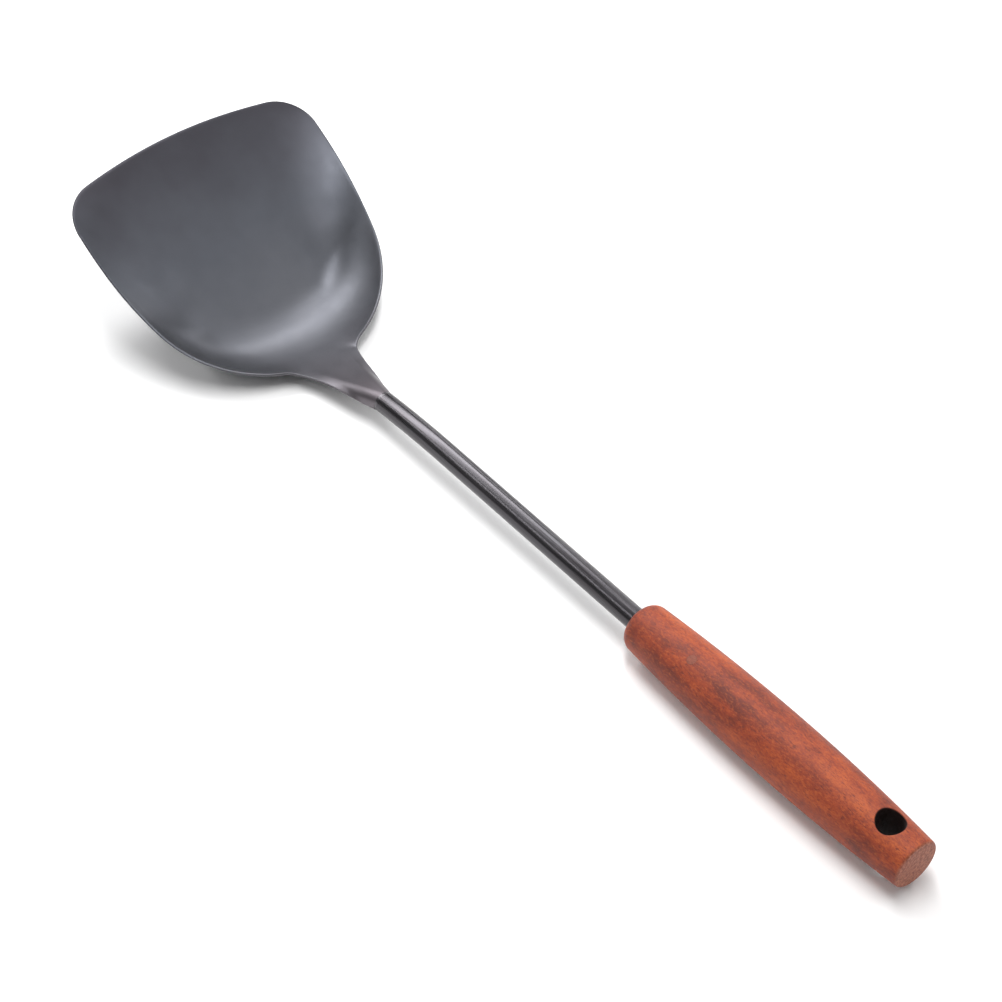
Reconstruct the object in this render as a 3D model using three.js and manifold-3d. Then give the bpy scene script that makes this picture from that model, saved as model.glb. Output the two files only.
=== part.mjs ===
// A wok spatula: a pressed steel blade on a round steel shank, in a turned hardwood handle.
// Millimetres. The tool lies along X with the blade towards +X and its hollow side up (+Z), and stands on
// the heel of the blade and the belly of the handle. Y is across it; only the pin is off the middle plane.

import * as THREE from "three";
import { LoftGeometry } from "three/addons/geometries/LoftGeometry.js";
import { mergeVertices } from "three/addons/utils/BufferGeometryUtils.js";
import Module from "manifold-3d";

const degrees = THREE.MathUtils.degToRad;

// Handle, measured from its butt
const handleLength = 128;
const bellyDiameter = 22.5;
const bellyFromButt = 61;
const buttDiameter = 17.8;
const noseDiameter = 17.4;
const noseRounding = 4.4;
const buttRounding = 0.9;
const hangingHoleDiameter = 9.8;
const hangingHoleFromButt = 12.4;

// Shank
const tubeDiameter = 8;
const tubeWall = 1;
const tubeReachInHandle = 78;
const shankShowing = 137; // from the handle's nose to the neck
const bendLength = 37; // the last stretch before the neck, bent a little downwards
const bendDrop = 1.65; // of the tube's end below the handle's axis
const glueThickness = 0.5;
const boreBeyondTube = 2;

// Pin across the handle
const pinDiameter = 2;
const pinLength = 15;
const pinHeadDiameter = 3;
const pinHeadThickness = 0.8;
const pinFillerDiameter = 3.5;
const pinFillerDepth = 2;
const pinFromNose = 29;
const pinLean = degrees(21.4); // from straight up, towards +Y

// Blade
const sheetThickness = 1;
const edgeRounding = 0.4; // how far in from the rim the sheet has its full thickness
const bladeWidth = 106.4;
const bladeReach = 126; // from the neck's weld to the middle of the front edge, along the shank
const frontEdgeHeight = 39.7; // above the handle's axis
const rimTilt = degrees(28.6); // of the rim's plane against the handle's axis
const floorDrop = degrees(10.2); // of the floor against the rim's plane
const heelBlend = 15; // height over which the floor runs into the back wall
const wallRun = 28.9; // from the neck's weld to where the back wall would meet the rim's plane
const wallCrownRadius = 75; // of the back wall across the blade
const neckBlend = 1.2; // height over which the back wall runs into the line of the shank
const neckLead = 3; // straight end of the neck before its weld
const rimFlareFront = 52; // width of the band at the front in which the sides are pressed up from the floor
const rimFlareRear = 8; // the same where the neck starts to fold
const rimRise = 5; // of the rim above its plane at the neck
const rimRiseStart = 42; // from the front edge
const rimFade = 14; // length over which the raised rim runs out along the neck

// The blade's outline is a chain of tangent arcs in the rim's plane, with a straight stretch at the neck's
// end. A heading is the direction of the outline against the middle of the front edge, where one arc
// passes into the next. The shoulder's arc follows from the side and the neck that it joins.
const frontEdgeRadius = 212;
const cornerRadius = 16;
const sideRadius = 164;
const shoulderRun = 63.1; // from the neck's weld to where the sides pass into the shoulders
const neckFilletRadius = 10.8;
const neckSideRadius = 36.6;
const neckStraight = 6.1;
const sideHeading = degrees(87.4);
const neckHeading = degrees(117.6);

// Folding of the neck into a gutter as round as the tube
const foldLength = 27.2; // back from the weld
const foldWidth = 19.3; // of the flat strip between the two folds where the folding starts
const foldAngle = degrees(126.5); // through which each flank is rolled down at the weld
const foldEasing = 2.37; // above 1, most of the folding lies near the weld
const foldTaper = 1.16; // above 1, the flat strip closes gently into the round of the shank

// Welds
const ringWeldWidth = 1;
const gutterWeldLength = 3;

// Clearances
const seatGap = 0.05; // between parts that are pressed or poured together
const pinGap = 0.15;
const gutterWeldGap = 0.15; // under the neck's edges
const cutOverrun = 2;

// Fineness of the surfaces
const turnedSides = 48;
const tubeSides = 32;
const pinSides = 16;
const barrelSteps = 24;
const edgeSteps = 4;
const noseSteps = 8;
const bendSteps = 8;
const neckRows = 16;
const bladeRows = 20;
const frontRows = 6;
const halfColumns = 15;
const rimSteps = 60;
const probeShare = 0.002; // step by which the slope of the blade is felt

const blackSteel = { color: 0x56585c, roughness: 0.35, metalness: 0.85 };
const weldSteel = { color: 0x4c4d50, roughness: 0.5, metalness: 0.85 };
const bareSteel = { color: 0xa0a2a4, roughness: 0.4, metalness: 1 };
const redWood = { color: 0x9c5040, roughness: 0.6, metalness: 0 };
const resin = { color: 0xc9b98a, roughness: 0.5, metalness: 0 };
const woodFiller = { color: 0x8a4434, roughness: 0.8, metalness: 0 };

const tubeRadius = tubeDiameter / 2;
const tubeBoreRadius = tubeRadius - tubeWall;
const tubeBackX = handleLength - tubeReachInHandle;
const weldX = handleLength + shankShowing;
const tubeFrontX = weldX - ringWeldWidth;

const wasm = await Module();
wasm.setup();

// A closed geometry as a solid for cutting and joining, and a solid as a geometry again.
function solidOf(geometry) {
  const bare = geometry.clone();
  bare.deleteAttribute("normal");
  bare.deleteAttribute("uv");
  const merged = mergeVertices(bare);
  const vertProperties = merged.attributes.position.array;
  const triVerts = new Uint32Array(merged.index.array);
  return new wasm.Manifold(new wasm.Mesh({ numProp: 3, vertProperties, triVerts }));
}

function geometryOf(solid) {
  const mesh = solid.getMesh();
  const geometry = new THREE.BufferGeometry();
  geometry.setAttribute("position", new THREE.BufferAttribute(mesh.vertProperties, 3));
  geometry.setIndex(new THREE.BufferAttribute(mesh.triVerts, 1));
  geometry.computeVertexNormals();
  return geometry;
}

function piece(name, geometry, finish) {
  const mesh = new THREE.Mesh(geometry, new THREE.MeshStandardMaterial(finish));
  mesh.name = name;
  return mesh;
}

// Turns a profile of [radius, place along X] about the X axis.
function turned(profile, sides) {
  const points = profile.map(([radius, x]) => new THREE.Vector2(radius, x));
  return new THREE.LatheGeometry(points, sides).rotateZ(-Math.PI / 2);
}

function turnedRing(inner, outer, fromX, toX, sides) {
  return turned([[inner, fromX], [outer, fromX], [outer, toX], [inner, toX], [inner, fromX]], sides);
}

// Points of a profile along an arc, from one angle to another. Angle 0 is outwards, a right angle along +X.
function arcProfile(centreRadius, centreX, radius, startAngle, endAngle, steps) {
  return Array.from({ length: steps + 1 }, (_, i) => {
    const angle = THREE.MathUtils.lerp(startAngle, endAngle, i / steps);
    return [centreRadius + radius * Math.cos(angle), centreX + radius * Math.sin(angle)];
  });
}

// Handle: a barrel, fullest at its belly, with a flat butt and a rounded nose.
function barrelRadius(x) {
  const endX = x < bellyFromButt ? 0 : handleLength;
  const endRadius = (x < bellyFromButt ? buttDiameter : noseDiameter) / 2;
  const share = (x - bellyFromButt) / (endX - bellyFromButt);
  return bellyDiameter / 2 - (bellyDiameter / 2 - endRadius) * share ** 2;
}

function barrelProfile() {
  const noseX = handleLength - noseRounding;
  const buttCentre = barrelRadius(buttRounding) - buttRounding;
  const noseCentre = barrelRadius(noseX) - noseRounding;
  const side = Array.from({ length: barrelSteps - 1 }, (_, i) => {
    const x = THREE.MathUtils.lerp(buttRounding, noseX, (i + 1) / barrelSteps);
    return [barrelRadius(x), x];
  });
  return [
    [0, 0],
    ...arcProfile(buttCentre, buttRounding, buttRounding, -Math.PI / 2, 0, edgeSteps),
    ...side,
    ...arcProfile(noseCentre, noseX, noseRounding, 0, Math.PI / 2, noseSteps),
  ];
}

const barrel = solidOf(turned([...barrelProfile(), [0, handleLength]], turnedSides));
const boreRadius = tubeRadius + glueThickness;
const boreEndX = tubeBackX - boreBeyondTube;

// Pin: shapes are turned along X from the middle of the handle, then swung up into the pin's line.
const pinX = handleLength - pinFromNose;
const pinTop = barrelRadius(pinX) - pinFillerDepth;
const pinUnderHead = pinTop - pinHeadThickness;
const pinPoint = pinTop - pinLength;

function alongPin(profile) {
  return turned(profile, pinSides).rotateY(-Math.PI / 2).rotateX(-pinLean).translate(pinX, 0, 0);
}

function pinRod(radius, from, to) {
  return solidOf(alongPin([[0, from], [radius, from], [radius, to], [0, to]]));
}

const pinHole = pinRod(pinDiameter / 2 + pinGap, pinPoint - pinGap, bellyDiameter);
const pinHeadHole = pinRod(pinFillerDiameter / 2 + seatGap, pinUnderHead - seatGap, bellyDiameter);

function handleGeometry() {
  const bore = [[boreRadius, handleLength], [boreRadius, boreEndX], [0, boreEndX]];
  const holeRadius = hangingHoleDiameter / 2;
  const holeLength = bellyDiameter + cutOverrun;
  const hangingHole = new THREE.CylinderGeometry(holeRadius, holeRadius, holeLength, turnedSides);
  hangingHole.rotateX(Math.PI / 2).translate(hangingHoleFromButt, 0, 0);
  const body = solidOf(turned([...barrelProfile(), ...bore], turnedSides));
  return geometryOf(body.subtract(solidOf(hangingHole)).subtract(pinHole).subtract(pinHeadHole));
}

function pinGeometry() {
  const shaft = pinDiameter / 2;
  const head = pinHeadDiameter / 2;
  return alongPin([
    [0, pinPoint],
    [shaft, pinPoint + pinDiameter],
    [shaft, pinUnderHead],
    [head, pinUnderHead],
    [head, pinTop],
    [0, pinTop],
  ]);
}

// The filler over the pin's head is rubbed down flush with the handle.
function pinFillerGeometry() {
  return geometryOf(pinRod(pinFillerDiameter / 2, pinTop, bellyDiameter).intersect(barrel));
}

function glueGeometry() {
  const inner = tubeRadius + seatGap;
  const outer = boreRadius - seatGap;
  const frontX = handleLength - noseRounding / 2;
  return geometryOf(solidOf(turnedRing(inner, outer, tubeBackX, frontX, tubeSides)).subtract(pinHole));
}

// Shank: the tube's front end follows the slight bend down to the neck, and so does the weld on it.
function bent(geometry) {
  const places = geometry.getAttribute("position");
  for (let i = 0; i < places.count; i += 1) {
    const share = Math.max((places.getX(i) - weldX) / bendLength + 1, 0);
    places.setZ(i, places.getZ(i) - bendDrop * share ** 2);
  }
  return geometry;
}

function tubeGeometry() {
  const stations = Array.from({ length: bendSteps + 1 }, (_, i) => {
    return THREE.MathUtils.lerp(weldX - bendLength, tubeFrontX, i / bendSteps);
  });
  const outside = [tubeBackX, ...stations].map((x) => [tubeRadius, x]);
  const inside = [...outside].reverse().map(([, x]) => [tubeBoreRadius, x]);
  const tube = turned([inside.at(-1), ...outside, ...inside], tubeSides);
  return geometryOf(solidOf(bent(tube)).subtract(pinHole));
}

function ringWeldGeometry() {
  return bent(turnedRing(tubeBoreRadius, tubeRadius, tubeFrontX, weldX, tubeSides));
}

// The bead that closes the open underside of the neck's end, between its rolled flanks: the lowest part of
// a ring, thinning forwards.
function gutterWeldGeometry() {
  const frontX = weldX + gutterWeldLength;
  const middleX = weldX + gutterWeldLength / 2;
  const back = [[tubeBoreRadius, weldX], [tubeRadius, weldX]];
  const front = [[tubeRadius, middleX], [tubeBoreRadius, frontX]];
  const ring = solidOf(turned([...back, ...front, back[0]], tubeSides));
  const side = tubeDiameter + cutOverrun;
  const topZ = tubeRadius * Math.cos(foldAngle) - gutterWeldGap;
  const below = new THREE.BoxGeometry(side, side, side).translate(weldX, 0, topZ - side / 2);
  return geometryOf(ring.intersect(solidOf(below)).translate([0, 0, -bendDrop]));
}

// Blade: its own frame starts at the middle of the front edge. "back" runs in the rim's plane towards the
// neck, "out" from the middle to the side, and heights are square to the plane.
const forward = new THREE.Vector3(Math.cos(rimTilt), 0, Math.sin(rimTilt));
const upward = new THREE.Vector3(-Math.sin(rimTilt), 0, Math.cos(rimTilt));
const frontMiddle = new THREE.Vector3(weldX + bladeReach, 0, frontEdgeHeight);
const sheetMidRadius = tubeRadius - sheetThickness / 2;
const neckEnd = new THREE.Vector3(weldX, 0, sheetMidRadius - bendDrop).sub(frontMiddle);
const neckEndBack = -neckEnd.dot(forward);
const neckEndHeight = neckEnd.dot(upward);
const shankSlope = rimTilt + Math.atan((2 * bendDrop) / bendLength);
const foldBack = neckEndBack - foldLength;

const rightAngle = Math.PI / 2;

// The point that a stretch of the outline has reached after some of its length.
function stretchPoint({ length, from, turn, back, out }, reached = length) {
  const half = (turn * reached) / (2 * length);
  const chord = half === 0 ? reached : (reached * Math.sin(half)) / half;
  return { back: back + chord * Math.sin(from + half), out: out + chord * Math.cos(from + half) };
}

// The way, as (back, out), to the centre of an arc that bends towards the middle plane.
function toCentre(heading, radius) {
  return new THREE.Vector2(Math.cos(heading), -Math.sin(heading)).multiplyScalar(radius);
}

const outline = (() => {
  const cornerOut = cornerRadius * Math.sin(sideHeading) + sideRadius * (1 - Math.sin(sideHeading));
  const cornerHeading = Math.asin((bladeWidth / 2 - cornerOut) / (frontEdgeRadius - cornerRadius));
  const stretches = [];
  let end = { back: 0, out: 0 };
  function add(length, from, turn) {
    stretches.push({ length, from, turn, ...end });
    end = stretchPoint(stretches.at(-1));
  }
  function addArc(radius, from, to) {
    add(radius * (to - from), from, to - from);
  }
  addArc(frontEdgeRadius, 0, cornerHeading);
  addArc(cornerRadius, cornerHeading, sideHeading);
  const sideRun = neckEndBack - shoulderRun - end.back;
  const shoulderHeading = Math.acos(Math.cos(sideHeading) - sideRun / sideRadius);
  addArc(sideRadius, sideHeading, shoulderHeading);

  // The shoulder's arc touches the fillet's circle, whose centre follows from the neck's end.
  const neckHalfWidth = foldAngle * sheetMidRadius;
  const sideEnd = new THREE.Vector2(end.back, end.out);
  const fillet = new THREE.Vector2(neckEndBack - neckStraight, neckHalfWidth + neckSideRadius);
  fillet.add(toCentre(neckHeading, neckSideRadius - neckFilletRadius));
  const span = fillet.clone().sub(sideEnd);
  const lean = span.dot(toCentre(shoulderHeading, 1));
  const shoulderRadius = (span.lengthSq() - neckFilletRadius ** 2) / (2 * (lean + neckFilletRadius));
  const shoulder = sideEnd.add(toCentre(shoulderHeading, shoulderRadius));
  const waistHeading = Math.atan2(fillet.y - shoulder.y, shoulder.x - fillet.x);
  addArc(shoulderRadius, shoulderHeading, waistHeading);
  addArc(-neckFilletRadius, waistHeading, neckHeading);
  addArc(-neckSideRadius, neckHeading, rightAngle);
  add(neckStraight, rightAngle, 0);
  return stretches;
})();

function chainLength(stretches) {
  return stretches.reduce((sum, { length }) => sum + length, 0);
}

// The point at a share of the way along a chain of stretches.
function chainPoint(stretches, share) {
  let left = share * chainLength(stretches);
  let index = 0;
  while (index < stretches.length - 1 && left > stretches[index].length) {
    left -= stretches[index].length;
    index += 1;
  }
  return stretchPoint(stretches[index], left);
}

const frontChain = outline.slice(0, 2);
const sideChain = outline.slice(2);
const neckChain = outline.slice(4);
const corner = chainPoint(frontChain, 1);

// The larger of two heights, with the corner between them rounded over the given height.
function blendUp(a, b, round) {
  return Math.max(a, b) + Math.max(round - Math.abs(a - b), 0) ** 2 / (4 * round);
}

// Height of the pressed sheet: the floor, the back wall behind it, and the end of the neck in line with the
// shank.
const wallTopBack = neckEndBack - neckLead * Math.cos(shankSlope);
const wallTopHeight = neckEndHeight - neckLead * Math.sin(shankSlope);
const wallFoot = neckEndBack - wallRun;
const wallRise = wallTopHeight / (wallTopBack - wallFoot);

function pressedHeight(back, out) {
  const floor = -Math.tan(floorDrop) * back;
  const wall = wallRise * (back - wallFoot) + out ** 2 / (2 * wallCrownRadius);
  const shank = neckEndHeight + Math.tan(shankSlope) * (back - neckEndBack);
  return blendUp(floor, -blendUp(-wall, -shank, neckBlend), heelBlend);
}

// How far the sheet is raised along its side, at points from the neck's end to the corner, and straight on
// to the front edge's line.
const rimPoints = Array.from({ length: rimSteps }, (_, i) => chainPoint(sideChain, 1 - i / (rimSteps - 1)));
rimPoints.push({ back: 0, out: corner.out - corner.back / Math.tan(sideHeading) });
const rimLifts = rimPoints.map(({ back, out }) => {
  const riseShare = Math.max(back - rimRiseStart, 0) / (foldBack - rimRiseStart);
  const fade = 1 - THREE.MathUtils.smoothstep(back, foldBack, foldBack + rimFade);
  return Math.max(rimRise * riseShare ** 2 - pressedHeight(back, out), 0) * fade;
});

// How far a point of the sheet is raised with the side's nearest point.
function liftAt(back, out) {
  let nearest = Infinity;
  let lift = 0;
  for (let i = 0; i < rimPoints.length - 1; i += 1) {
    const start = rimPoints[i];
    const stepBack = rimPoints[i + 1].back - start.back;
    const stepOut = rimPoints[i + 1].out - start.out;
    const reach = (back - start.back) * stepBack + (out - start.out) * stepOut;
    const share = THREE.MathUtils.clamp(reach / (stepBack ** 2 + stepOut ** 2 || 1), 0, 1);
    const away = Math.hypot(back - start.back - share * stepBack, out - start.out - share * stepOut);
    if (away < nearest) {
      nearest = away;
      lift = THREE.MathUtils.lerp(rimLifts[i], rimLifts[i + 1], share);
    }
  }
  const flareShare = THREE.MathUtils.clamp(back / foldBack, 0, 1);
  const flare = THREE.MathUtils.lerp(rimFlareFront, rimFlareRear, flareShare);
  return lift * Math.max(1 - nearest / flare, 0) ** 2;
}

// Rows run across the blade, from the neck's end (0) to the front edge (1). They are straight until the
// front rows, which bow more and more until the last of them is the front edge.
const frontShare = 0.88;

function flatPoint(row, across) {
  const edge = chainPoint(sideChain, 1 - row);
  const bow = Math.max((row - frontShare) / (1 - frontShare), 0) ** 1.5;
  const front = chainPoint(frontChain, across);
  return {
    back: edge.back + bow * (front.back - corner.back),
    out: edge.out * THREE.MathUtils.lerp(across, front.out / corner.out, bow),
  };
}

// A point midway through the sheet. "side" is +1 for the half of the blade towards +Y.
function midPoint(row, across, side) {
  const { back, out } = flatPoint(row, across);
  const foldShare = THREE.MathUtils.clamp((back - foldBack) / foldLength, 0, 1);
  const flat = (foldWidth / 2) * (1 - foldShare) ** foldTaper;
  const flank = foldShare > 0 ? Math.max(out - flat, 0) : 0;
  const angle = foldAngle * foldShare ** foldEasing;
  const bend = Math.min(flank / sheetMidRadius, angle);
  const straight = flank - bend * sheetMidRadius;
  const sideways = sheetMidRadius * Math.sin(bend) + straight * Math.cos(angle);
  const down = sheetMidRadius * (1 - Math.cos(bend)) + straight * Math.sin(angle);
  const rise = pressedHeight(back + edgeRounding, 0) - pressedHeight(back - edgeRounding, 0);
  const slope = Math.atan2(rise, 2 * edgeRounding);
  const height = pressedHeight(back, out - flank * foldShare) + liftAt(back, out);
  const point = frontMiddle.clone();
  point.addScaledVector(forward, -back - down * Math.sin(slope));
  point.addScaledVector(upward, height - down * Math.cos(slope));
  point.y = side * (out - flank + sideways);
  return point;
}

// The same with a signed share across the blade, -1 to 1.
function sheetPoint(row, share) {
  return midPoint(row, Math.abs(share), Math.sign(share));
}

// A point of the sheet's face: the hollow side (face 1) or the underside (face -1).
function facePoint(row, share, face) {
  const ahead = sheetPoint(Math.min(row + probeShare, 1), share);
  const behind = sheetPoint(Math.max(row - probeShare, 0), share);
  const left = sheetPoint(row, Math.min(share + probeShare, 1));
  const right = sheetPoint(row, Math.max(share - probeShare, -1));
  const normal = ahead.sub(behind).cross(left.sub(right)).normalize();
  return sheetPoint(row, share).addScaledVector(normal, (face * sheetThickness) / 2);
}

// One ring round the sheet: over its hollow side from +Y to -Y, and back along the underside.
function sheetRing(row, pointAt) {
  const inset = 1 - edgeRounding / chainPoint(sideChain, 1 - row).out;
  const shares = Array.from({ length: 2 * halfColumns + 1 }, (_, i) => inset * (1 - i / halfColumns));
  return [
    sheetPoint(row, 1),
    ...shares.map((share) => pointAt(row, share, 1)),
    sheetPoint(row, -1),
    ...shares.reverse().map((share) => pointAt(row, share, -1)),
  ];
}

function bladeGeometry() {
  const sideLength = chainLength(sideChain);
  const neckShare = chainLength(neckChain) / sideLength;
  const stretches = [
    [0, neckShare, neckRows],
    [neckShare, frontShare, bladeRows],
    [frontShare, 1, frontRows],
  ];
  const rows = stretches.flatMap(([from, to, count]) => {
    return Array.from({ length: count }, (_, i) => THREE.MathUtils.lerp(from, to, i / count));
  });
  const rings = [...rows, 1 - edgeRounding / sideLength].map((row) => sheetRing(row, facePoint));
  rings.push(sheetRing(1, sheetPoint));
  for (const point of rings[0]) {
    point.x = weldX; // the neck's end is cut square to the shank
  }
  return new LoftGeometry(rings, { capStart: true });
}

const tool = new THREE.Group();
tool.add(
  piece("blade", bladeGeometry(), blackSteel),
  piece("neck_ring_weld", ringWeldGeometry(), weldSteel),
  piece("neck_gutter_weld", gutterWeldGeometry(), weldSteel),
  piece("shank_tube", tubeGeometry(), blackSteel),
  piece("handle", handleGeometry(), redWood),
  piece("handle_glue", glueGeometry(), resin),
  piece("handle_pin", pinGeometry(), bareSteel),
  piece("pin_filler", pinFillerGeometry(), woodFiller),
);

// The origin is under the middle of the tool, in the plane it stands on.
const bounds = new THREE.Box3().setFromObject(tool);
tool.position.set(-bounds.getCenter(new THREE.Vector3()).x, 0, -bounds.min.z);

export default tool;
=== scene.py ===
from math import acos, asin, atan, atan2, cos, pi, radians, sin, tan

import bmesh
import bpy
import numpy as np
from mathutils import Matrix, Vector


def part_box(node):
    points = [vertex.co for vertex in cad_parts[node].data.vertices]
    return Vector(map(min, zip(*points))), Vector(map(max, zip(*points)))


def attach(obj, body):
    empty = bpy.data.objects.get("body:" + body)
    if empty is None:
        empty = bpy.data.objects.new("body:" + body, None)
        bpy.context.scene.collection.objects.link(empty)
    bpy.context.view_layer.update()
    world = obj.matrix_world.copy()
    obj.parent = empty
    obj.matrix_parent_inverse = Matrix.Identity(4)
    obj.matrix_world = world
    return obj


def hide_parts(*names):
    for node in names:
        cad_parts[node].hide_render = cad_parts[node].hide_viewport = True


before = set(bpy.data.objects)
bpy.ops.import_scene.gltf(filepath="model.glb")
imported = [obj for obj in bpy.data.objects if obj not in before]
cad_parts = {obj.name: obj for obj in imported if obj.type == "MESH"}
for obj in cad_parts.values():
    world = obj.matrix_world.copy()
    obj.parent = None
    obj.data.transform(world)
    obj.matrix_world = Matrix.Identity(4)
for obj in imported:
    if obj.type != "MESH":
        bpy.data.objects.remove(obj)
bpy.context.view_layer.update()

# Blade. One sheet of 1 mm carbon steel, pressed into a scoop with a steep back wall, its rim ground round.
# The neck is rolled into a gutter as round as the shank. The steel is blackened all over with oil that was
# burnt in, and lies smooth and satin. Its colour is darkest at the front edge and grows lighter and a little
# warmer towards the neck.
mm = 0.001
butt_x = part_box("handle")[0].x
axis_z = (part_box("handle")[0].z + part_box("handle")[1].z) / 2

shank_radius = 4.0
weld_x = 265.0  # from the butt of the handle to the neck's weld
shank_bend_length = 37.0
shank_bend_drop = 1.65
sheet_thickness = 1.0
sheet_mid_radius = shank_radius - sheet_thickness / 2
rim_rounding = 0.4
blade_width = 106.4
blade_reach = 126.0
front_edge_height = 39.7
rim_tilt = radians(28.6)
floor_drop = radians(10.2)
heel_blend = 15.0
wall_run = 28.9
wall_crown_radius = 75.0
neck_blend = 1.2
neck_lead = 3.0
rim_flare_front = 52.0
rim_flare_rear = 8.0
rim_rise = 5.0
rim_rise_start = 42.0
rim_fade = 14.0
rim_samples = 160
front_edge_radius = 212.0
corner_radius = 16.0
side_radius = 164.0
shoulder_run = 63.1
neck_fillet_radius = 10.8
neck_side_radius = 36.6
neck_straight = 6.1
side_heading = radians(87.4)
neck_heading = radians(117.6)
fold_length = 27.2
fold_width = 19.3
fold_angle = radians(126.5)
fold_easing = 2.37
fold_taper = 1.16

forward = np.array([cos(rim_tilt), 0, sin(rim_tilt)])
upward = np.array([-sin(rim_tilt), 0, cos(rim_tilt)])
front_middle = np.array([weld_x + blade_reach, 0, front_edge_height])
neck_end = np.array([weld_x, 0, sheet_mid_radius - shank_bend_drop]) - front_middle
neck_end_back = -neck_end @ forward
neck_end_height = neck_end @ upward
shank_slope = rim_tilt + atan(2 * shank_bend_drop / shank_bend_length)
fold_back = neck_end_back - fold_length


def stretch_point(stretch, reached):
    """A point after some of a stretch of the outline: back from the front edge, and out from the middle."""
    length, heading, turn, back, out = stretch
    half = turn * reached / (2 * length)
    chord = reached * np.sinc(half / pi)
    return back + chord * np.sin(heading + half), out + chord * np.cos(heading + half)


def to_centre(heading, radius):
    return radius * np.array([cos(heading), -sin(heading)])


def blade_outline():
    """The stretches of the outline, from the middle of the front edge round to the neck's end."""
    stretches = []

    def end():
        return stretch_point(stretches[-1], stretches[-1][0]) if stretches else (0.0, 0.0)

    def arc(radius, start, stop):
        stretches.append((radius * (stop - start), start, stop - start, *end()))

    corner_out = corner_radius * sin(side_heading) + side_radius * (1 - sin(side_heading))
    corner_heading = asin((blade_width / 2 - corner_out) / (front_edge_radius - corner_radius))
    arc(front_edge_radius, 0, corner_heading)
    arc(corner_radius, corner_heading, side_heading)
    side_run = neck_end_back - shoulder_run - end()[0]
    shoulder_heading = acos(cos(side_heading) - side_run / side_radius)
    arc(side_radius, side_heading, shoulder_heading)
    side_end = np.array(end())
    fillet = np.array([neck_end_back - neck_straight, fold_angle * sheet_mid_radius + neck_side_radius])
    fillet += to_centre(neck_heading, neck_side_radius - neck_fillet_radius)
    span = fillet - side_end
    lean = span @ to_centre(shoulder_heading, 1)
    shoulder_radius = (span @ span - neck_fillet_radius**2) / (2 * (lean + neck_fillet_radius))
    shoulder = side_end + to_centre(shoulder_heading, shoulder_radius)
    waist_heading = atan2(fillet[1] - shoulder[1], shoulder[0] - fillet[0])
    arc(shoulder_radius, shoulder_heading, waist_heading)
    arc(-neck_fillet_radius, waist_heading, neck_heading)
    arc(-neck_side_radius, neck_heading, pi / 2)
    stretches.append((neck_straight, pi / 2, 0.0, *end()))
    return stretches


outline = blade_outline()
front_outline = outline[:2]
side_outline = outline[2:]
side_length = sum(stretch[0] for stretch in side_outline)
neck_share = sum(stretch[0] for stretch in outline[4:]) / side_length


def along(stretches, share):
    """Points at shares of the way along some stretches of the outline."""
    left = np.asarray(share, float) * sum(stretch[0] for stretch in stretches)
    back, out = stretch_point(stretches[0], left)
    for before, stretch in zip(stretches, stretches[1:]):
        left = left - before[0]
        later_back, later_out = stretch_point(stretch, np.maximum(left, 0))
        back = np.where(left > 0, later_back, back)
        out = np.where(left > 0, later_out, out)
    return back, out


def blend_up(a, b, rounding):
    return np.maximum(a, b) + np.maximum(rounding - abs(a - b), 0) ** 2 / (4 * rounding)


wall_top_back = neck_end_back - neck_lead * cos(shank_slope)
wall_top_height = neck_end_height - neck_lead * sin(shank_slope)
wall_foot = neck_end_back - wall_run
wall_rise = wall_top_height / (wall_top_back - wall_foot)


def pressed_height(back, out):
    """The die's height above the rim's plane, with a floor, a crowned back wall and the neck's slope."""
    floor = -tan(floor_drop) * back
    wall = wall_rise * (back - wall_foot) + out**2 / (2 * wall_crown_radius)
    shank = neck_end_height + tan(shank_slope) * (back - neck_end_back)
    return blend_up(floor, -blend_up(-wall, -shank, neck_blend), heel_blend)


corner_back, corner_out = along(front_outline, 1.0)
side_back, side_out = along(side_outline, np.linspace(1, 0, rim_samples))
rim_back = np.append(side_back, 0.0)
rim_out = np.append(side_out, corner_out - corner_back / tan(side_heading))
rise_share = np.maximum(rim_back - rim_rise_start, 0) / (fold_back - rim_rise_start)
fade_share = np.clip((rim_back - fold_back) / rim_fade, 0, 1)
rim_lift = np.maximum(rim_rise * rise_share**2 - pressed_height(rim_back, rim_out), 0)
rim_lift *= 1 - fade_share**2 * (3 - 2 * fade_share)


def lift_at(back, out):
    """How far the sheet is pressed up with the nearest point of its side."""
    step_back, step_out = np.diff(rim_back), np.diff(rim_out)
    squared = np.maximum(step_back**2 + step_out**2, 1e-12)
    ahead, aside = back[:, None] - rim_back[:-1], out[:, None] - rim_out[:-1]
    share = np.clip((ahead * step_back + aside * step_out) / squared, 0, 1)
    away = np.hypot(ahead - share * step_back, aside - share * step_out)
    nearest = away.argmin(1)
    row = np.arange(len(back))
    lift = rim_lift[nearest] + share[row, nearest] * (rim_lift[nearest + 1] - rim_lift[nearest])
    flare = rim_flare_front + (rim_flare_rear - rim_flare_front) * np.clip(back / fold_back, 0, 1)
    return lift * np.maximum(1 - away[row, nearest] / flare, 0) ** 2


front_share = 0.88  # of the way along the side, from where the rows of the mesh bow out to the front edge
bow_easing = 1.5
neck_rows, side_rows, front_rows, rim_rows = 70, 110, 34, 6
columns_each_side = 56


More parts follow.
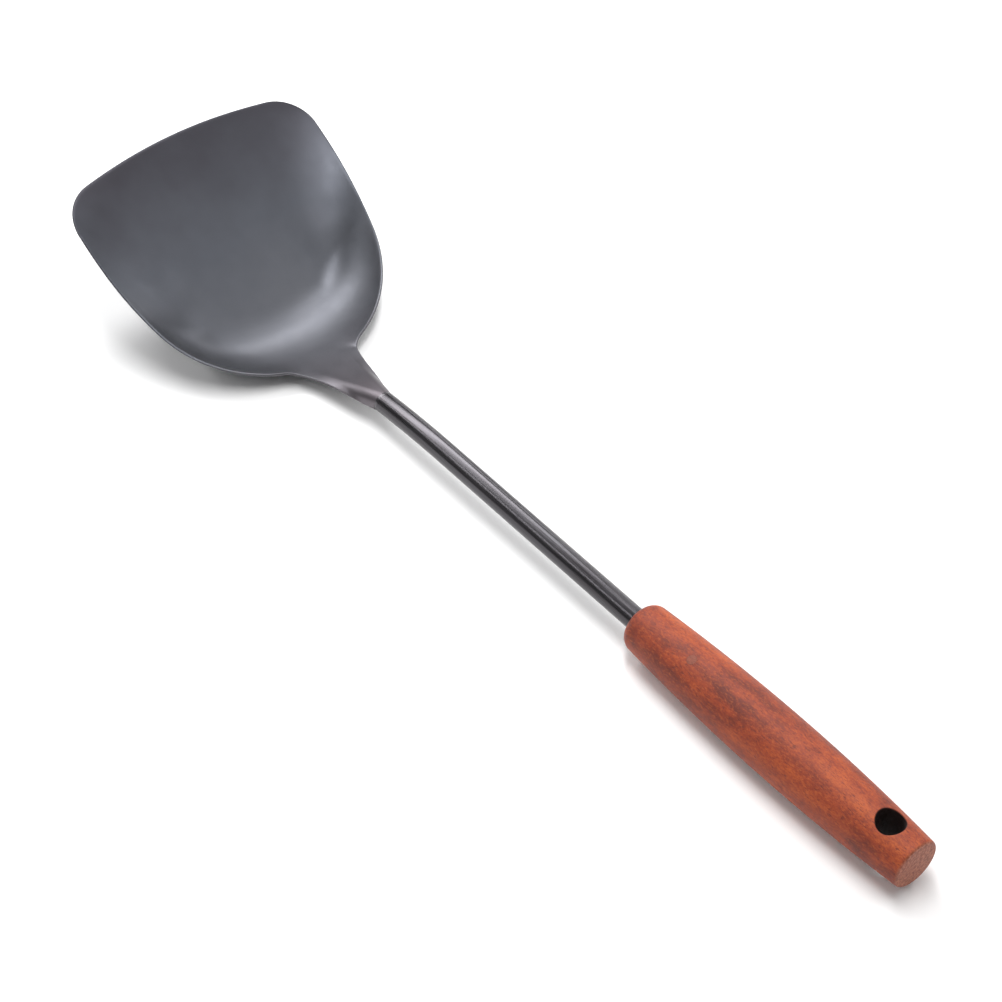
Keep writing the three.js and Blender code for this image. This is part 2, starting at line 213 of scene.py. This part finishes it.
def sheet_middle(row, across):
    """Points midway through the sheet, for rows from the neck's end (0) to the front edge (1)."""
    side = np.sign(across)
    across = abs(across)
    edge_back, edge_out = along(side_outline, 1 - row)
    bow = np.maximum((row - front_share) / (1 - front_share), 0) ** bow_easing
    front_back, front_out = along(front_outline, across)
    back = edge_back + bow * (front_back - corner_back)
    out = edge_out * (across + bow * (front_out / corner_out - across))
    fold_share = np.clip((back - fold_back) / fold_length, 0, 1)
    flat = fold_width / 2 * (1 - fold_share) ** fold_taper
    flank = np.where(fold_share > 0, np.maximum(out - flat, 0), 0)
    angle = fold_angle * fold_share**fold_easing
    bend = np.minimum(flank / sheet_mid_radius, angle)
    straight = flank - bend * sheet_mid_radius
    sideways = sheet_mid_radius * np.sin(bend) + straight * np.cos(angle)
    down = sheet_mid_radius * (1 - np.cos(bend)) + straight * np.sin(angle)
    rise = pressed_height(back + rim_rounding, 0) - pressed_height(back - rim_rounding, 0)
    slope = np.arctan2(rise, 2 * rim_rounding)
    height = pressed_height(back, out - flank * fold_share)
    height += lift_at(back.ravel(), out.ravel()).reshape(back.shape)
    point = front_middle + forward * (-back - down * np.sin(slope))[..., None]
    point += upward * (height - down * np.cos(slope))[..., None]
    point[..., 1] = side * (out - flank + sideways)
    return point


def in_place(points):
    """From millimetres along the handle's axis to metres in the tool's own frame."""
    return np.asarray(points) * mm + np.array([butt_x, 0, axis_z])


crease_angle = radians(40)
welded_crease_angle = radians(50)


def made(name, corners, faces, finish):
    """A piece as an object, with smooth faces and its edges crisp where they turn sharply."""
    mesh = bpy.data.meshes.new(name)
    mesh.from_pydata([tuple(corner) for corner in in_place(corners)], [], faces)
    mesh.validate()
    mesh.shade_smooth()
    mesh.set_sharp_from_angle(angle=crease_angle)
    mesh.materials.append(finish)
    piece = bpy.data.objects.new(name, mesh)
    bpy.context.scene.collection.objects.link(piece)
    return piece


def rings_joined(rings, count, closed):
    """Faces between rings of corners that follow each other, with the same count of corners in each."""
    last = count if closed else count - 1
    faces = []
    for start in range(0, rings * count, count):
        for i in range(last):
            beside = (i + 1) % count
            faces.append((start + i, start + beside, start + count + beside, start + count + i))
    return faces


def blade_sheet(finish):
    """Rows from the neck to the front edge, on an upper and an under face that meet at a round rim."""
    rounding_steps = np.linspace(pi / 2, 0, rim_rows)
    from_rim = rim_rounding * (1 - np.cos(rounding_steps))
    rows = np.concatenate([
        np.linspace(0, neck_share, neck_rows, endpoint=False),
        np.linspace(neck_share, front_share, side_rows, endpoint=False),
        np.linspace(front_share, 1 - rim_rounding / side_length, front_rows, endpoint=False),
        1 - from_rim / side_length,
    ])
    row_fullness = np.concatenate([np.ones(neck_rows + side_rows + front_rows), np.sin(rounding_steps)])
    edge_out = along(side_outline, 1 - rows)[1][:, None]
    inner = (1 - rim_rounding / edge_out) * np.arange(columns_each_side) / columns_each_side
    outer = 1 - from_rim[None, :] / edge_out
    across = np.concatenate([inner, outer], 1)
    across = np.concatenate([-across[:, :0:-1], across], 1)
    column_fullness = np.concatenate([np.ones(columns_each_side), np.sin(rounding_steps)])
    column_fullness = np.concatenate([column_fullness[:0:-1], column_fullness])
    middle = sheet_middle(np.broadcast_to(rows[:, None], across.shape), across)
    facing = np.cross(np.gradient(middle, axis=0), np.gradient(middle, axis=1))
    facing /= np.linalg.norm(facing, axis=-1, keepdims=True)
    fullness = np.minimum(row_fullness[:, None], column_fullness[None, :])[..., None]
    top = middle + facing * fullness * sheet_thickness / 2
    under = middle - facing * fullness * sheet_thickness / 2
    top[0, :, 0] = under[0, :, 0] = weld_x
    row_count, count = across.shape
    top_faces = rings_joined(row_count - 1, count, False)
    offset = row_count * count
    under_faces = [tuple(offset + corner for corner in reversed(face)) for face in top_faces]
    end_faces = [(i + 1, i, offset + i, offset + i + 1) for i in range(count - 1)]
    faces = top_faces + under_faces + end_faces
    sheet = made("blade_sheet", np.concatenate([top.reshape(-1, 3), under.reshape(-1, 3)]), faces, finish)
    weld_corners(sheet)
    return sheet


def weld_corners(piece, reach=1e-7):
    """Joins corners that lie on each other, as along the blade's rim, where its two faces meet."""
    shape = bmesh.new()
    shape.from_mesh(piece.data)
    bmesh.ops.remove_doubles(shape, verts=shape.verts, dist=reach)
    bmesh.ops.recalc_face_normals(shape, faces=shape.faces)
    if shape.calc_volume(signed=True) < 0:
        bmesh.ops.reverse_faces(shape, faces=shape.faces)
    shape.to_mesh(piece.data)
    shape.free()
    piece.data.shade_smooth()
    piece.data.set_sharp_from_angle(angle=welded_crease_angle)


def tone(red, green, blue):
    """A colour as the eye sees it, from 0 to 255, as the light that it stands for."""
    return *(((level / 255 + 0.055) / 1.055) ** 2.4 for level in (red, green, blue)), 1.0


def finish_of(name):
    """A new finish, with its shader and the means to add and join nodes."""
    finish = bpy.data.materials.new(name)
    finish.use_nodes = True
    nodes, links = finish.node_tree.nodes, finish.node_tree.links
    shader = nodes["Principled BSDF"]

    def add(kind, inputs=(), **settings):
        node = nodes.new(kind)
        for key, value in settings.items():
            setattr(node, key, value)
        for key, value in dict(inputs).items():
            if isinstance(value, bpy.types.NodeSocket):
                links.new(value, node.inputs[key])
            else:
                node.inputs[key].default_value = value
        return node

    return finish, shader, add, links


def mottle(add, stretch, scale, detail=4.0, roughness=0.55):
    """Uneven patches, drawn out along the tool by a small first value of the stretch."""
    place = add("ShaderNodeTexCoord").outputs["Object"]
    spread = add("ShaderNodeMapping", {"Vector": place, "Scale": stretch})
    return add("ShaderNodeTexNoise", {
        "Vector": spread.outputs[0], "Scale": scale, "Detail": detail, "Roughness": roughness,
    }).outputs["Fac"]


def ramp(add, value, stops):
    """Colours between stops, which are given in rising order."""
    node = add("ShaderNodeValToRGB", {"Fac": value})
    elements = node.color_ramp.elements
    for place, _ in stops[1:-1]:
        elements.new(place)
    for element, (place, colour) in zip(elements, stops):
        element.position = place
        element.color = colour
    return node.outputs["Color"]


def range_of(add, value, low, high, to_low, to_high):
    ends = {"From Min": low, "From Max": high, "To Min": to_low, "To Max": to_high}
    return add("ShaderNodeMapRange", {"Value": value, **ends}).outputs[0]


def blackened_steel():
    finish, shader, add, links = finish_of("blackened_steel")
    place = add("ShaderNodeSeparateXYZ", {"Vector": add("ShaderNodeTexCoord").outputs["Object"]})
    cloud = mottle(add, (1, 1, 1), 34.0, 3.0)
    # The colour grows darker from the neck towards the front edge, with a little random unevenness.
    along_tool = range_of(add, place.outputs["X"], 0.06, 0.195, 0.0, 1.0)
    uneven = range_of(add, cloud, 0.3, 0.7, -0.05, 0.05)
    drift = add("ShaderNodeMath", {0: along_tool, 1: uneven}, operation="ADD")
    colour = ramp(add, drift.outputs[0], [
        (0.0, tone(104, 97, 101)),
        (0.42, tone(97, 98, 103)),
        (0.72, tone(79, 81, 87)),
        (1.0, tone(60, 59, 64)),
    ])
    links.new(colour, shader.inputs["Base Color"])
    smear = mottle(add, (1, 1, 1), 110.0, 5.0, 0.6)
    links.new(range_of(add, smear, 0.3, 0.7, 0.40, 0.48), shader.inputs["Roughness"])
    grit = mottle(add, (1, 1, 1), 2600.0, 2.0)
    bump = add("ShaderNodeBump", {"Height": grit, "Strength": 0.05, "Distance": 0.0002})
    links.new(bump.outputs[0], shader.inputs["Normal"])
    shader.inputs["Metallic"].default_value = 1.0
    return finish


blade_finish = blackened_steel()
blade = blade_sheet(blade_finish)
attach(blade, "root")
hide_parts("blade")

# Shank. A length of 8 mm steel tube with a 1 mm wall, drawn and polished before it was blackened, so it is
# glossier than the blade and keeps faint lines along its length. Its front end is bent a little downwards
# to the neck, and its back end sits deep in the handle.
handle_length = 128.0
shank_bore_radius = 3.0
shank_back_x = 50.0
shank_front_x = 264.0
shank_sides = 128
depth_in_nose = 6.0  # of the first ring of the mesh behind the handle's nose
bend_rings = 32


def shank_drop(x):
    """How far the shank's middle line has bent down from the handle's axis."""
    return shank_bend_drop * np.maximum((x - weld_x) / shank_bend_length + 1, 0) ** 2


def turned_profile(name, profile, sides, finish, closed=True):
    """A profile of radii and places, turned about the handle's axis and bent with the shank."""
    radii, places = (np.array(values, float)[:, None] for values in zip(*profile))
    turn = np.arange(sides) * 2 * pi / sides
    x = places + 0 * turn
    corners = np.stack([x, radii * np.sin(turn), radii * np.cos(turn) - shank_drop(x)], -1).reshape(-1, 3)
    faces = rings_joined(len(profile) - 1, sides, True)
    if closed:
        last = (len(profile) - 1) * sides
        faces += [(last + i, last + (i + 1) % sides, (i + 1) % sides, i) for i in range(sides)]
    piece = made(name, corners, faces, finish)
    weld_corners(piece)
    return piece


def drawn_steel():
    finish, shader, add, links = finish_of("drawn_steel")
    cloud = mottle(add, (0.25, 1, 1), 60.0, 3.0)
    lines = mottle(add, (0.02, 1, 1), 1500.0, 3.0)
    mixed = add("ShaderNodeMath", {0: range_of(add, lines, 0.3, 0.7, 0.0, 0.3), 1: cloud}, operation="ADD")
    colour = ramp(add, mixed.outputs[0], [
        (0.35, tone(67, 64, 66)),
        (0.6, tone(73, 71, 74)),
        (0.85, tone(79, 78, 81)),
    ])
    links.new(colour, shader.inputs["Base Color"])
    links.new(range_of(add, lines, 0.3, 0.7, 0.22, 0.3), shader.inputs["Roughness"])
    bump = add("ShaderNodeBump", {"Height": lines, "Strength": 0.05, "Distance": 0.0001})
    links.new(bump.outputs[0], shader.inputs["Normal"])
    shader.inputs["Metallic"].default_value = 1.0
    return finish


shank_finish = drawn_steel()
bend_places = np.linspace(weld_x - shank_bend_length, shank_front_x, bend_rings)
shank_places = [shank_back_x, handle_length - depth_in_nose, *bend_places]
shank_profile = [(shank_radius, x) for x in shank_places]
shank_profile += [(shank_bore_radius, x) for x in reversed(shank_places)]
shank = turned_profile("shank", shank_profile, shank_sides, shank_finish)
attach(shank, "root")
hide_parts("shank_tube")

# Weld round the neck. A bead between the shank's end and the neck, ground flush and polished out, so that
# only a faint change of sheen is left once it is blackened with the rest.
def ground_weld():
    finish, shader, add, links = finish_of("ground_weld")
    cloud = mottle(add, (1, 1, 1), 500.0, 4.0)
    colour = ramp(add, cloud, [(0.3, tone(84, 82, 85)), (0.7, tone(96, 94, 97))])
    links.new(colour, shader.inputs["Base Color"])
    links.new(range_of(add, cloud, 0.3, 0.7, 0.24, 0.34), shader.inputs["Roughness"])
    ripple = mottle(add, (1, 1, 1), 900.0, 3.0)
    bump = add("ShaderNodeBump", {"Height": ripple, "Strength": 0.1, "Distance": 0.0002})
    links.new(bump.outputs[0], shader.inputs["Normal"])
    shader.inputs["Metallic"].default_value = 1.0
    return finish


weld_finish = ground_weld()
weld_rings = 5
weld_places = list(np.linspace(shank_front_x, weld_x, weld_rings))
weld_profile = [(shank_radius, x) for x in weld_places]
weld_profile += [(shank_bore_radius, x) for x in reversed(weld_places)]
neck_weld = turned_profile("neck_weld", weld_profile, shank_sides, weld_finish)
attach(neck_weld, "root")
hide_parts("neck_ring_weld")

# Weld under the neck. A short bead that closes the gap between the neck's two rolled flanks from below. It
# was left as it ran, with the low ripples of the weld pool, and thins out forwards.
gutter_weld_length = 3.0
gutter_weld_gap = 0.15
gutter_weld_tip = 0.12  # left off where the bead would thin out to nothing
pool_ripple_depth = 0.035
pool_ripple_pitch = 0.75
bead_rings = 22
bead_steps = 18


def gutter_bead(finish):
    top = -shank_radius * cos(fold_angle) + gutter_weld_gap  # below the shank's middle line
    places = np.linspace(weld_x, weld_x + gutter_weld_length - gutter_weld_tip, bead_rings)
    corners = []
    for x in places:
        forwards = x - weld_x
        outer = shank_radius - max(forwards / gutter_weld_length * 2 - 1, 0)
        outer -= pool_ripple_depth * (1 - cos(forwards * 2 * pi / pool_ripple_pitch))
        for radius, side in ((outer, 1), (shank_bore_radius, -1)):
            half = side * acos(top / radius)
            for angle in np.linspace(-half, half, bead_steps):
                corners.append((x, radius * sin(angle), -radius * cos(angle) - shank_bend_drop))
    faces = rings_joined(bead_rings - 1, 2 * bead_steps, True)
    last = (bead_rings - 1) * 2 * bead_steps
    for i in range(bead_steps - 1):
        opposite = 2 * bead_steps - 1 - i
        faces.append((i + 1, i, opposite, opposite - 1))
        faces.append((last + i, last + i + 1, last + opposite - 1, last + opposite))
    bead = made("gutter_bead", corners, faces, finish)
    weld_corners(bead)
    return bead


bead = gutter_bead(weld_finish)
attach(bead, "root")
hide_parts("neck_gutter_weld")

# Handle. One piece of red-brown hardwood, turned as a slender barrel with a rounded nose and a flat butt, and
# drilled down through the butt for hanging. It is sanded along the grain and only oiled, so its short open
# pores show, and the end grain at the butt is paler. The wall of the hanging hole is coloured near black, as
# painted shade inside the hole.
belly_radius = 11.25
belly_x = 61.0
butt_radius = 8.9
nose_radius = 8.7
nose_rounding = 4.4
butt_rounding = 0.9
butt_rounding_seen = 0.8  # how far up its rounding the end grain shows
hanging_hole_radius = 4.9
hanging_hole_x = 12.4
hole_edge_rounding = 0.35
hanging_drill_reach = 14.0
shank_bore_in_wood = 4.5
bore_end_x = 48.0
pin_x = 99.0
pin_lean = radians(21.4)
pin_filler_radius = 1.75
pin_filler_depth = 2.0
pin_head_thickness = 0.8
seat_gap = 0.05
pin_drill_reach = 14.0
handle_sides = 160
barrel_rings = 190
butt_rings = 9
nose_rings = 17
hole_sides = 144
hole_edge_rings = 6
pin_sides = 64


def barrel_radius(x):
    end_x = np.where(x < belly_x, 0, handle_length)
    end_radius = np.where(x < belly_x, butt_radius, nose_radius)
    return belly_radius - (belly_radius - end_radius) * ((x - belly_x) / (end_x - belly_x)) ** 2


def cut_away(piece, cutter):
    """Drills or mills one closed shape out of another, and drops the cutter."""
    cut = piece.modifiers.new("cut", "BOOLEAN")
    cut.operation, cut.solver, cut.object = "DIFFERENCE", "EXACT", cutter
    bpy.context.view_layer.update()
    result = bpy.data.meshes.new_from_object(piece.evaluated_get(bpy.context.evaluated_depsgraph_get()))
    piece.modifiers.clear()
    piece.data = result
    bpy.data.objects.remove(cutter)


def hanging_drill(finish):
    """The drill of the hanging hole, which also eases the hole's edges where it leaves the barrel."""
    turn = np.arange(hole_sides) * 2 * pi / hole_sides

    def barrel_at(radius):
        x = hanging_hole_x + radius * np.cos(turn)
        return np.sqrt(barrel_radius(x) ** 2 - (radius * np.sin(turn)) ** 2)

    ease = np.linspace(pi / 2, 0, hole_edge_rings)
    radii = hanging_hole_radius + hole_edge_rounding * (1 - np.sin(ease))
    halves = []
    for radius, angle in zip(radii, ease):
        halves.append((radius, barrel_at(radii[-1]) - hole_edge_rounding * (1 - cos(angle))))
    halves.append((radii[-1], hanging_drill_reach + 0 * turn))
    rings = [(radius, -height) for radius, height in reversed(halves)] + halves
    corners = [
        (hanging_hole_x + radius * c, radius * s, height_here)
        for radius, height in rings
        for c, s, height_here in zip(np.cos(turn), np.sin(turn), height)
    ]
    last = (len(rings) - 1) * hole_sides
    faces = rings_joined(len(rings) - 1, hole_sides, True)
    faces.append(tuple(range(hole_sides)))
    faces.append(tuple(range(last, last + hole_sides))[::-1])
    drill = made("hanging_drill", corners, faces, finish)
    weld_corners(drill)
    return drill


def along_pin(radius, turn, height):
    """A point of a circle across the pin's line, at a height above the handle's axis along that line."""
    sideways = radius * sin(turn)
    y = cos(pin_lean) * sideways + sin(pin_lean) * height
    z = -sin(pin_lean) * sideways + cos(pin_lean) * height
    return pin_x + radius * cos(turn), y, z


pin_turn = [i * 2 * pi / pin_sides for i in range(pin_sides)]


def pin_drill(radius, bottom, finish):
    corners = [along_pin(radius, angle, height) for height in (bottom, pin_drill_reach) for angle in pin_turn]
    faces = rings_joined(1, pin_sides, True)
    faces += [tuple(range(pin_sides)), tuple(range(pin_sides, 2 * pin_sides))[::-1]]
    drill = made("pin_drill", corners, faces, finish)
    weld_corners(drill)
    return drill


def turned_handle(finish):
    nose_x = handle_length - nose_rounding
    nose_centre = barrel_radius(nose_x) - nose_rounding
    butt_centre = barrel_radius(butt_rounding) - butt_rounding
    profile = [(0.0, 0.0), (butt_centre / 2, 0.0)]
    profile += [
        (butt_centre + butt_rounding * sin(angle), butt_rounding * (1 - cos(angle)))
        for angle in np.linspace(0, pi / 2, butt_rings)
    ]
    profile += [(float(barrel_radius(x)), x) for x in np.linspace(butt_rounding, nose_x, barrel_rings)[1:-1]]
    profile += [
        (nose_centre + nose_rounding * cos(angle), nose_x + nose_rounding * sin(angle))
        for angle in np.linspace(0, pi / 2, nose_rings)
    ]
    profile += [(shank_bore_in_wood, handle_length), (shank_bore_in_wood, bore_end_x), (0.0, bore_end_x)]
    handle = turned_profile("handle_wood", profile, handle_sides, finish, closed=False)
    cut_away(handle, hanging_drill(finish))
    filler_bottom = float(barrel_radius(pin_x)) - pin_filler_depth - pin_head_thickness - seat_gap
    cut_away(handle, pin_drill(pin_filler_radius + seat_gap, filler_bottom, finish))
    weld_corners(handle)
    return handle


def oiled_hardwood():
    finish, shader, add, links = finish_of("oiled_hardwood")
    place = add("ShaderNodeTexCoord").outputs["Object"]

    def blend(share, first, second):
        mix = add("ShaderNodeMix", {"Factor": share, "A": first, "B": second}, data_type="RGBA")
        return mix.outputs["Result"]

    def sum_of(first, second):
        return add("ShaderNodeMath", {0: first, 1: second}, operation="ADD").outputs[0]

    bands = mottle(add, (0.16, 1, 1), 130.0, 3.0, 0.5)
    blotches = mottle(add, (0.5, 1, 1), 240.0, 4.0, 0.65)
    body = ramp(add, sum_of(bands, range_of(add, blotches, 0.3, 0.7, -0.16, 0.16)), [
        (0.26, tone(102, 36, 20)),
        (0.40, tone(126, 47, 23)),
        (0.54, tone(148, 59, 27)),
        (0.76, tone(174, 78, 32)),
    ])
    fibres = mottle(add, (0.45, 1, 1), 1500.0, 4.0, 0.75)
    body = blend(range_of(add, fibres, 0.5, 0.7, 0.0, 0.5), body, tone(186, 98, 50))
    body = blend(range_of(add, fibres, 0.5, 0.32, 0.0, 0.6), body, tone(98, 34, 20))
    pores = mottle(add, (0.24, 1, 1), 2300.0, 2.0, 0.5)
    pore_share = range_of(add, pores, 0.59, 0.68, 0.0, 0.65)
    body = blend(pore_share, body, tone(88, 32, 24))

    along_handle = add("ShaderNodeSeparateXYZ", {"Vector": place}).outputs["X"]
    end_share = range_of(add, along_handle, butt_x + butt_rounding_seen * mm, butt_x, 0.0, 1.0)
    end_grain = mottle(add, (1, 1, 1), 900.0, 4.0, 0.65)
    end_tone = ramp(add, end_grain, [(0.34, tone(124, 64, 44)), (0.66, tone(188, 116, 90))])
    body = blend(end_share, body, end_tone)

    # Painted shade: the wall of the hanging hole is coloured near black, for the shade that falls inside the
    # hole.
    hole_middle = (butt_x + hanging_hole_x * mm, 0, 0)
    from_hole = add("ShaderNodeVectorMath", {0: place, 1: hole_middle}, operation="SUBTRACT")
    flat = add("ShaderNodeVectorMath", {0: from_hole.outputs[0], 1: (1, 1, 0)}, operation="MULTIPLY")
    from_axis = add("ShaderNodeVectorMath", {0: flat.outputs[0]}, operation="LENGTH").outputs["Value"]
    mouth = (hanging_hole_radius + hole_edge_rounding) * mm
    hole_shade_share = range_of(add, from_axis, mouth, hanging_hole_radius * mm, 0.0, 1.0)
    body = blend(hole_shade_share, body, tone(38, 20, 17))
    links.new(body, shader.inputs["Base Color"])
    links.new(range_of(add, fibres, 0.3, 0.7, 0.52, 0.68), shader.inputs["Roughness"])
    shader.inputs["Specular IOR Level"].default_value = 0.4
    shader.inputs["Sheen Weight"].default_value = 0.05
    shader.inputs["Sheen Roughness"].default_value = 0.35
    depth = add("ShaderNodeMath", {0: fibres, 1: pore_share}, operation="SUBTRACT")
    bump = add("ShaderNodeBump", {"Height": depth.outputs[0], "Strength": 0.3, "Distance": 0.0002})
    links.new(bump.outputs[0], shader.inputs["Normal"])
    return finish


wood_finish = oiled_hardwood()
handle = turned_handle(wood_finish)
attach(handle, "root")
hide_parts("handle")

# Resin, pin and filler. The shank is set in the handle's bore with resin, and a nail-like steel pin goes
# through wood and tube to hold it. Only the filler over the pin's head shows, as a small brown spot that is
# rubbed down flush with the barrel.
def set_resin():
    finish, shader, add, links = finish_of("set_resin")
    cloud = mottle(add, (1, 1, 1), 300.0, 3.0)
    colour = ramp(add, cloud, [(0.3, tone(150, 128, 84)), (0.7, tone(200, 182, 140))])
    links.new(colour, shader.inputs["Base Color"])
    shader.inputs["Roughness"].default_value = 0.45
    return finish


def bare_pin_steel():
    finish, shader, add, links = finish_of("bare_pin_steel")
    lines = mottle(add, (1, 1, 0.1), 2400.0, 3.0)
    colour = ramp(add, lines, [(0.3, tone(140, 142, 146)), (0.7, tone(176, 178, 182))])
    links.new(colour, shader.inputs["Base Color"])
    shader.inputs["Metallic"].default_value = 1.0
    shader.inputs["Roughness"].default_value = 0.4
    return finish


def rubbed_filler():
    finish, shader, add, links = finish_of("rubbed_filler")
    specks = mottle(add, (1, 1, 1), 1500.0, 4.0)
    colour = ramp(add, specks, [(0.3, tone(112, 56, 40)), (0.7, tone(142, 74, 54))])
    links.new(colour, shader.inputs["Base Color"])
    shader.inputs["Roughness"].default_value = 0.7
    return finish


plug_ring_shares = (1.0, 0.75, 0.5, 0.25)


def filler_plug(finish):
    """A short plug whose top follows the barrel."""
    bottom = float(barrel_radius(pin_x)) - pin_filler_depth
    corners = []
    for share in plug_ring_shares:
        for angle in pin_turn:
            x, y, z = along_pin(pin_filler_radius * share, angle, 0.0)
            height = (float(barrel_radius(x)) ** 2 - y * y - z * z) ** 0.5
            corners.append((x, y + sin(pin_lean) * height, z + cos(pin_lean) * height))
    corners += [along_pin(pin_filler_radius, angle, bottom) for angle in pin_turn]
    wall = len(plug_ring_shares) * pin_sides
    faces = rings_joined(len(plug_ring_shares) - 1, pin_sides, True)
    faces.append(tuple(range(wall - pin_sides, wall)))
    for i in range(pin_sides):
        beside = (i + 1) % pin_sides
        faces.append((i, beside, wall + beside, wall + i))
    faces.append(tuple(range(wall, wall + pin_sides)))
    plug = made("filler_plug", corners, faces, finish)
    weld_corners(plug)
    return plug


plug = filler_plug(rubbed_filler())
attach(plug, "root")
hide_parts("pin_filler")

for node, finish in (("handle_glue", set_resin()), ("handle_pin", bare_pin_steel())):
    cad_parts[node].data.materials.clear()
    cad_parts[node].data.materials.append(finish)

# Floor. A plain white table, large enough that it fills the picture, with a little paper grain.
def white_table():
    finish, shader, add, links = finish_of("white_table")
    cloud = mottle(add, (1, 1, 1), 8.0, 2.0)
    colour = ramp(add, cloud, [(0.3, tone(247, 247, 247)), (0.7, tone(250, 250, 250))])
    links.new(colour, shader.inputs["Base Color"])
    shader.inputs["Roughness"].default_value = 0.9
    shader.inputs["Specular IOR Level"].default_value = 0.1
    return finish


def table_top(half_side=4.0, depth=0.02):
    """A slab with its top in the plane that the tool stands on, in metres."""
    outline_signs = ((-1, -1), (1, -1), (1, 1), (-1, 1))
    corners = [(x * half_side, y * half_side, z) for z in (0.0, -depth) for x, y in outline_signs]
    faces = [(0, 1, 2, 3), (7, 6, 5, 4), (4, 5, 1, 0), (5, 6, 2, 1), (6, 7, 3, 2), (7, 4, 0, 3)]
    mesh = bpy.data.meshes.new("table")
    mesh.from_pydata(corners, [], faces)
    mesh.materials.append(white_table())
    table = bpy.data.objects.new("table", mesh)
    bpy.context.scene.collection.objects.link(table)
    return table


table_top()

# Light. A grey room with five strip soft boxes: one beyond the blade that draws the bright band in its heel,
# one overhead, a long one on either side, and a small one low on the right for the shank's upper edge.
lamps_aim = Vector((0.06, 0, 0.01))
white_wall_power = 4  # watts for each square metre of a soft box that is as bright as a white wall


def softbox(name, towards, across, away, width, height, brightness):
    """A soft box in a direction from the tool. Brightness is against a white wall, which has 1."""
    way = Vector(towards).normalized()
    side = (Vector(across) - Vector(across).dot(way) * way).normalized()
    data = bpy.data.lights.new(name, "AREA")
    data.shape, data.size, data.size_y = "RECTANGLE", width, height
    data.energy = brightness * width * height * white_wall_power
    lamp = bpy.data.objects.new(name, data)
    turn = Matrix((side, way.cross(side), way)).transposed().to_4x4()
    lamp.matrix_world = Matrix.Translation(lamps_aim + way * away) @ turn
    bpy.context.scene.collection.objects.link(lamp)


softbox("beyond_the_blade", (0.61, -0.14, 0.78), (0.2, 0.98, 0.0), 0.75, 0.72, 0.17, 9.0)
softbox("overhead", (-0.06, -0.04, 1.0), (0.77, -0.63, 0.0), 0.75, 0.6, 0.15, 10.5)
softbox("on_the_left", (0.4, 0.6, 0.69), (0.83, -0.52, -0.18), 1.2, 1.4, 0.1, 6.2)
softbox("on_the_right", (-0.15, -0.775, 0.61), (0.767, -0.49, -0.415), 0.75, 1.6, 0.1, 4.3)
softbox("low_on_the_right", (0.5, -0.77, 0.4), (0.5, 0.0, -0.6), 0.85, 0.45, 0.12, 3.0)

world = bpy.data.worlds.new("grey_room")
world.use_nodes = True
world.node_tree.nodes["Background"].inputs["Color"].default_value = (1, 1, 1, 1)
world.node_tree.nodes["Background"].inputs["Strength"].default_value = 0.25
bpy.context.scene.world = world
bpy.context.scene.view_settings.view_transform = "Standard"

# Camera. Above and behind the left side of the handle, looking down at the tool at about 45 degrees.
camera_data = bpy.data.cameras.new("camera")
camera_data.sensor_width = 36
camera_data.lens = 103.52
camera = bpy.data.objects.new("camera", camera_data)
right = (-0.6369, -0.7707, 0.0211)
down = (-0.5583, 0.4421, -0.7021)
ahead = (0.5317, -0.4589, -0.7118)
at = (-325.402 * mm + butt_x, 452.901 * mm, 702.547 * mm + axis_z)
camera.matrix_world = Matrix([(right[i], -down[i], -ahead[i], at[i]) for i in range(3)] + [(0, 0, 0, 1)])
bpy.context.scene.collection.objects.link(camera)
bpy.context.scene.camera = camera
